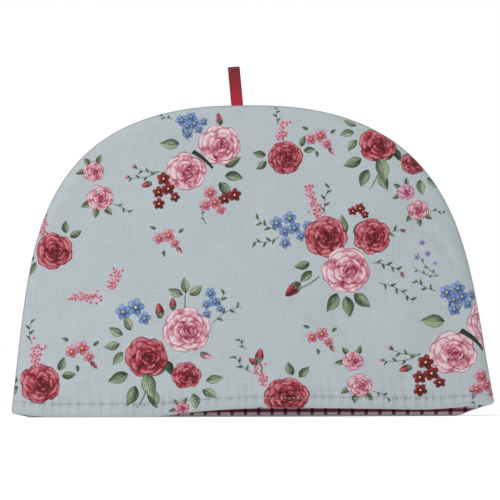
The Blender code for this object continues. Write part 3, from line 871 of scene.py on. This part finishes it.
# a closed padded panel: the fine outer face, a coarse inner face, and a strip of fans between their borders,
# eight fine edges to each coarse one
def addPanel(name, side, table, puckers, creases, places, phase):
    points, flatAcross, flatUp, shade = panelFace(side, table, puckers, creases, phase)
    rows, columns = points.shape[:2]
    step = panel["coarse"]
    coarsePlaces = unevenSteps(-1.0, 1.0, panel["columns"], 0.045, 1.1, True)[::step]
    coarseRises = unevenSteps(0.003 / dome["height"], 1.0, rows - 1, 0.06, 1.1, False)[::step]
    across, height = domeGrid(coarsePlaces, coarseRises, panel["coarseInset"])
    inner = stand(across, domeDepth(across, height, panel["coarseInset"]), height, side, table)
    start = rows * columns
    outerQuads = gridQuads(rows, columns)
    innerQuads = gridQuads(len(coarseRises), len(coarsePlaces), start)[:, ::-1]
    fine = gridBorder(rows, columns)
    coarse = gridBorder(len(coarseRises), len(coarsePlaces), start)
    fineNext = np.roll(fine, -1)
    owner = (np.arange(len(fine)) // step + (np.arange(len(fine)) % step >= step // 2)) % len(coarse)
    fans = np.stack([fineNext, fine, coarse[owner]], axis=-1)
    halves = fine[np.arange(len(coarse)) * step + step // 2]
    bridges = np.stack([halves, coarse, np.roll(coarse, -1)], axis=-1)
    everyPoint = np.concatenate([points.reshape(-1, 3), inner.reshape(-1, 3)])
    faces = [outerQuads, innerQuads, fans, bridges]
    piece = addPiece(name, everyPoint, faces, materials["printed"], turned=side > 0)
    mirror = 1.0 if side < 0 else -1.0
    cellAcross = cellMiddles(mirror * flatAcross)
    colours = printCloth(cellAcross, cellMiddles(flatUp), places).reshape(9, -1, 3)
    plain = printCloth(np.zeros(1), np.ones(1), ())
    spare = np.tile(plain, (len(piece.data.polygons) - len(outerQuads), 1))
    for number in range(9):
        block = np.concatenate([colours[number], spare])
        keepNumbers(piece, "print%d" % number, "FLOAT_VECTOR", "FACE", "vector", block)
    keepNumbers(piece, "shade", "FLOAT", "POINT", "value", np.concatenate([shade.ravel(), np.full(inner[..., 0].size, 0.8)]))
    flat = np.stack([mirror * flatAcross, flatUp], axis=-1).reshape(-1, 2)
    flatInner = np.stack([inner[..., 0], inner[..., 2]], axis=-1).reshape(-1, 2)
    keepPlaces(piece, "cloth", np.concatenate([flat, flatInner]))
    corner = np.array([[0, 0], [1, 0], [1, 1], [0, 1]], np.float32)
    corner = corner[::-1] if side > 0 else corner
    rest = len(piece.data.loops) - 4 * len(outerQuads)
    cells = np.concatenate([np.tile(corner, (len(outerQuads), 1)), np.full((rest, 2), 0.5, np.float32)])
    layer = piece.data.uv_layers.new(name="cell")
    layer.data.foreach_set("uv", cells.ravel())
    return piece


printedFront = addPanel("printedFront", -1, frontLift, frontPuckers, frontCreases, frontPlaces, 0.7)
print("front panel made")
printedBack = addPanel("printedBack", 1, backLift, backPuckers, backCreases, backPlaces, 2.9)
print("back panel made")

lining = {"inset": 0.0043, "thickness": 0.0010, "setback": 0.0010, "columns": 132, "rows": 92, "wave": 0.0003}


# a closed sheet from an outer and an inner grid: both faces and the strip round their borders
def closedSheet(name, outer, inner, material, turned):
    rows, columns = outer.shape[:2]
    start = rows * columns
    near = gridBorder(rows, columns)
    far = near + start
    strip = np.stack([np.roll(near, -1), near, far, np.roll(far, -1)], axis=-1)
    faces = [gridQuads(rows, columns), gridQuads(rows, columns, start)[:, ::-1], strip]
    return addPiece(name, np.concatenate([outer.reshape(-1, 3), inner.reshape(-1, 3)]), faces, material, turned)


# a lining follows the dome inside its panel, a little wavy where it hangs free
def addLining(name, side, table, phase):
    layers = []
    for inset in (lining["inset"], lining["inset"] + lining["thickness"]):
        places = unevenSteps(-1.0, 1.0, lining["columns"], 0.06, 1.0, True)
        rises = unevenSteps(lining["setback"] / dome["height"], 1.0, lining["rows"], 0.08, 1.0, False)
        across, height = domeGrid(places, rises, inset)
        wave = lining["wave"] * (np.sin(70.0 * across + phase) * np.sin(38.0 * height + phase) - 1.0)
        wave = wave * ease(0.004, 0.030, seamDistance(across, height, inset))
        layers.append(stand(across, domeDepth(across, height, inset) + wave, height, side, table))
    piece = closedSheet(name, *layers, materials["checked"], side > 0)
    flat = np.stack(layers)[..., [0, 2]] * (1.0 + panel["bulgeStretch"] * np.abs(np.stack(layers)[..., 1:2]))
    keepPlaces(piece, "cloth", flat + 0.5)
    return piece


checkedLiningFront = addLining("checkedLiningFront", -1, frontLift, 0.4)
checkedLiningBack = addLining("checkedLiningBack", 1, backLift, 2.0)
print("linings made")

ribbon = {
    "width": 0.0090, "thickness": 0.0010, "rise": 0.0290, "flare": 0.0064, "sink": 0.0001, "place": -0.0066,
    "lean": math.radians(5.0), "sewnIn": 0.0030, "steps": 150, "across": 10,
}


# the ribbon's loop: a half turn stretched upwards, opened out below its fold, whose ends run down into the seam
def addRibbon():
    turn = np.linspace(0.0, math.pi, ribbon["steps"] + 1)
    foot = 0.5 * (ribbon["thickness"] + dome["seamGap"])
    tall = ribbon["rise"] - 0.5 * ribbon["thickness"]
    depth = -np.cos(turn) * (foot + ribbon["flare"] * np.sin(turn))
    rise = tall * np.sin(turn)
    ends = np.linspace(-ribbon["sewnIn"], 0.0, 9)[:-1]
    depth = np.concatenate([np.full(8, -foot), depth, np.full(8, foot)])
    rise = np.concatenate([ends, rise, ends[::-1]])
    slope = np.stack([np.gradient(depth), np.gradient(rise)])
    normal = np.stack([-slope[1], slope[0]]) / np.hypot(*slope)
    beside = np.linspace(-1.0, 1.0, ribbon["across"] + 1)
    thin = 1.0 - 0.35 * np.abs(beside) ** 6
    layers = []
    for face in (-1.0, 1.0):
        off = 0.5 * face * 0.8 * ribbon["thickness"] * thin[None, :]
        curl = 0.00012 * np.sin(rise[:, None] * 900.0 + beside[None, :])
        y = depth[:, None] - normal[0][:, None] * (off + curl)
        z = rise[:, None] - normal[1][:, None] * (off + curl)
        x = 0.5 * ribbon["width"] * beside[None, :] * np.ones_like(y)
        leanedX = x * math.cos(ribbon["lean"]) - z * math.sin(ribbon["lean"])
        leanedZ = z * math.cos(ribbon["lean"]) + x * math.sin(ribbon["lean"])
        layers.append(np.stack([leanedX, y, leanedZ], axis=-1))
    droop = 0.5 * ribbon["width"] * math.sin(ribbon["lean"]) + ribbon["sink"]
    base = np.array([ribbon["place"] - dome["lean"] * dome["height"], 0.0, dome["height"] + dome["seamGap"] + droop])
    piece = closedSheet("redRibbonLoop", layers[0] + base, layers[1] + base, materials["ribbon"], False)
    along = np.concatenate([[0.0], np.cumsum(np.hypot(np.diff(depth), np.diff(rise)))])
    flat = np.stack(np.broadcast_arrays(beside[None, :] * 0.5 * ribbon["width"], along[:, None]), axis=-1)
    keepPlaces(piece, "cloth", np.stack([flat, flat]))
    high = np.broadcast_to(np.clip(rise / tall, 0.0, 1.0)[:, None], layers[0].shape[:2])
    wide = np.broadcast_to(np.abs(beside)[None, :], layers[0].shape[:2])
    keepNumbers(piece, "rise", "FLOAT", "POINT", "value", np.stack([high, high]))
    keepNumbers(piece, "beside", "FLOAT", "POINT", "value", np.stack([wide, wide]))
    return piece, float(along[-1])


redRibbonLoop, ribbonLength = addRibbon()
print("ribbon made, %.1f mm long" % (1000.0 * ribbonLength))

stitch = {"pitch": 0.0030, "length": 0.0023, "radius": 0.00040, "sides": 6, "rings": 5, "margin": 0.004}


# hem stitches: short spindles of thread laid end to end along the groove, each a circle carried along a
# shallow bow, fattest in its middle and sunk at both ends
def addStitches(name, side, table, puckers, creases, phase):
    wide = float(domeSide(panel["stitchHeight"])) - stitch["margin"]
    count = int(2.0 * wide / stitch["pitch"])
    starts = (np.arange(count) - 0.5 * (count - 1)) * stitch["pitch"]
    along = np.linspace(-0.5, 0.5, stitch["rings"])
    turn = np.linspace(0.0, 2.0 * math.pi, stitch["sides"], endpoint=False)
    across = starts[:, None, None] + stitch["length"] * along[None, :, None] + 0.0 * turn[None, None, :]
    fat = stitch["radius"] * np.sqrt(1.0 - (1.9 * along) ** 2 * 0.95)[None, :, None]
    height = panel["stitchHeight"] + fat * np.sin(turn)[None, None, :]
    middleHeight = np.full_like(across, panel["stitchHeight"])
    depth = domeDepth(across, middleHeight) + sewnRelief(across, middleHeight, puckers, creases, phase)
    bow = 0.9 * stitch["radius"] * (1.0 - (2.0 * along) ** 2)[None, :, None]
    depth = depth + bow - 0.3 * stitch["radius"] + fat * np.cos(turn)[None, None, :]
    points = stand(across, depth, height, side, table)
    sides, rings = stitch["sides"], stitch["rings"]
    base = np.arange(count)[:, None, None] * sides * rings
    ring = np.arange(rings - 1)[None, :, None] * sides
    around6 = np.arange(sides)[None, None, :]
    after = (around6 + 1) % sides
    tube = np.stack([base + ring + around6, base + ring + after, base + ring + sides + after,
                     base + ring + sides + around6], axis=-1).reshape(-1, 4)
    firstCap = (base[:, 0] + np.arange(sides)[None, ::-1]).reshape(-1, sides)
    lastCap = (base[:, 0] + (rings - 1) * sides + np.arange(sides)[None, :]).reshape(-1, sides)
    piece = addPiece(name, points, [tube, firstCap, lastCap], materials["thread"], turned=side < 0)
    flat = np.stack(np.broadcast_arrays(turn[None, None, :] / (2.0 * math.pi), along[None, :, None], across)[:2], axis=-1)
    keepPlaces(piece, "cloth", flat)
    return piece


hemStitchesFront = addStitches("hemStitchesFront", -1, frontLift, frontPuckers, frontCreases, 0.7)
hemStitchesBack = addStitches("hemStitchesBack", 1, backLift, backPuckers, backCreases, 2.9)
print("hem stitches made")

# every piece rides on the one body and stands for its own solid
pieces = (
    (printedFront, "outer_front", "printed_cotton"), (printedBack, "outer_back", "printed_cotton"),
    (checkedLiningFront, "lining_front", "checked_cotton"), (checkedLiningBack, "lining_back", "checked_cotton"),
    (redRibbonLoop, "ribbon_loop", "red_ribbon"),
)
for piece, node, slotName in pieces:
    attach(piece, "root")
    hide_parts(node)
for piece in (hemStitchesFront, hemStitchesBack):
    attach(piece, "root")

view = {
    "distance": 1.50, "eyeHeight": 0.012, "middleX": -0.0019, "middleZ": 0.1251, "wide": 0.3756, "roll": -0.2,
    "floor": (0.97, 0.97, 0.97, 1.0), "skyLight": 0.60, "floorGlow": 0.26, "skySeen": 1.0,
}


# the floor is one broad pale sheet, faintly mottled
def addFloor():
    reach = 1.4
    steps = np.linspace(-reach, reach, 5)
    x, y = np.meshgrid(steps, steps)
    points = np.stack([x, y, np.zeros_like(x)], axis=-1)
    material, tree, shader = newMaterial("paleFloor", 0.9, 0.0, (1, 1, 1))
    place = addNode(tree, "ShaderNodeTexCoord")
    mottle = addNode(tree, "ShaderNodeTexNoise", None, Vector=place.outputs["Object"], Scale=9.0, Detail=2.0)
    tone = mathNode(tree, "MULTIPLY_ADD", mottle.outputs[0], 0.02, 0.99)
    toned = addNode(tree, "ShaderNodeVectorMath", {"operation": "SCALE"}, i0=view["floor"][:3], Scale=tone)
    tree.links.new(toned.outputs[0], shader.inputs["Base Color"])
    shader.inputs["Emission Color"].default_value = (1.0, 1.0, 1.0, 1.0)
    shader.inputs["Emission Strength"].default_value = view["floorGlow"]
    floor = addPiece("floor", points, [gridQuads(5, 5)], material)


# a square soft light that faces the middle of the dome
def addLight(name, place, size, power, colour):
    data = bpy.data.lights.new(name, "AREA")
    data.size = size
    data.energy = power
    data.color = colour
    lamp = bpy.data.objects.new(name, data)
    bpy.context.scene.collection.objects.link(lamp)
    toward = np.array([0.0, 0.0, 0.11]) - np.array(place)
    pitch = math.atan2(math.hypot(toward[0], toward[1]), -toward[2])
    lamp.location = place
    lamp.rotation_euler = (pitch, 0.0, math.atan2(-toward[0], toward[1]))


# the camera stands low in front, looks a little up, and is rolled a little
def addCamera():
    data = bpy.data.cameras.new("camera")
    data.sensor_width = 36.0
    data.lens = 36.0 * view["distance"] / view["wide"]
    camera = bpy.data.objects.new("camera", data)
    bpy.context.scene.collection.objects.link(camera)
    tilt = math.atan2(view["middleZ"] - view["eyeHeight"], view["distance"])
    camera.location = (view["middleX"], -view["distance"], view["eyeHeight"])
    turned = Euler((math.pi / 2.0 + tilt, 0.0, 0.0)).to_matrix() @ Euler((0.0, 0.0, math.radians(view["roll"]))).to_matrix()
    camera.rotation_euler = turned.to_euler()
    bpy.context.scene.camera = camera


addFloor()
addLight("keyLight", (-1.0, -1.1, 1.9), 0.8, 26.5, (1.0, 0.99, 0.98))
addLight("fillLight", (1.0, -1.8, 0.5), 1.2, 2.6, (0.97, 0.98, 1.0))
addCamera()
world = bpy.data.worlds.new("paleSky")
world.use_nodes = True
sky = world.node_tree
rays = addNode(sky, "ShaderNodeLightPath").outputs["Is Camera Ray"]
strength = mathNode(sky, "MULTIPLY_ADD", rays, view["skySeen"] - view["skyLight"], view["skyLight"])
sky.nodes["Background"].inputs["Color"].default_value = (1.0, 1.0, 1.0, 1.0)
sky.links.new(strength, sky.nodes["Background"].inputs["Strength"])
bpy.context.scene.world = world
bpy.context.scene.view_settings.view_transform = "Standard"
print("stage set")
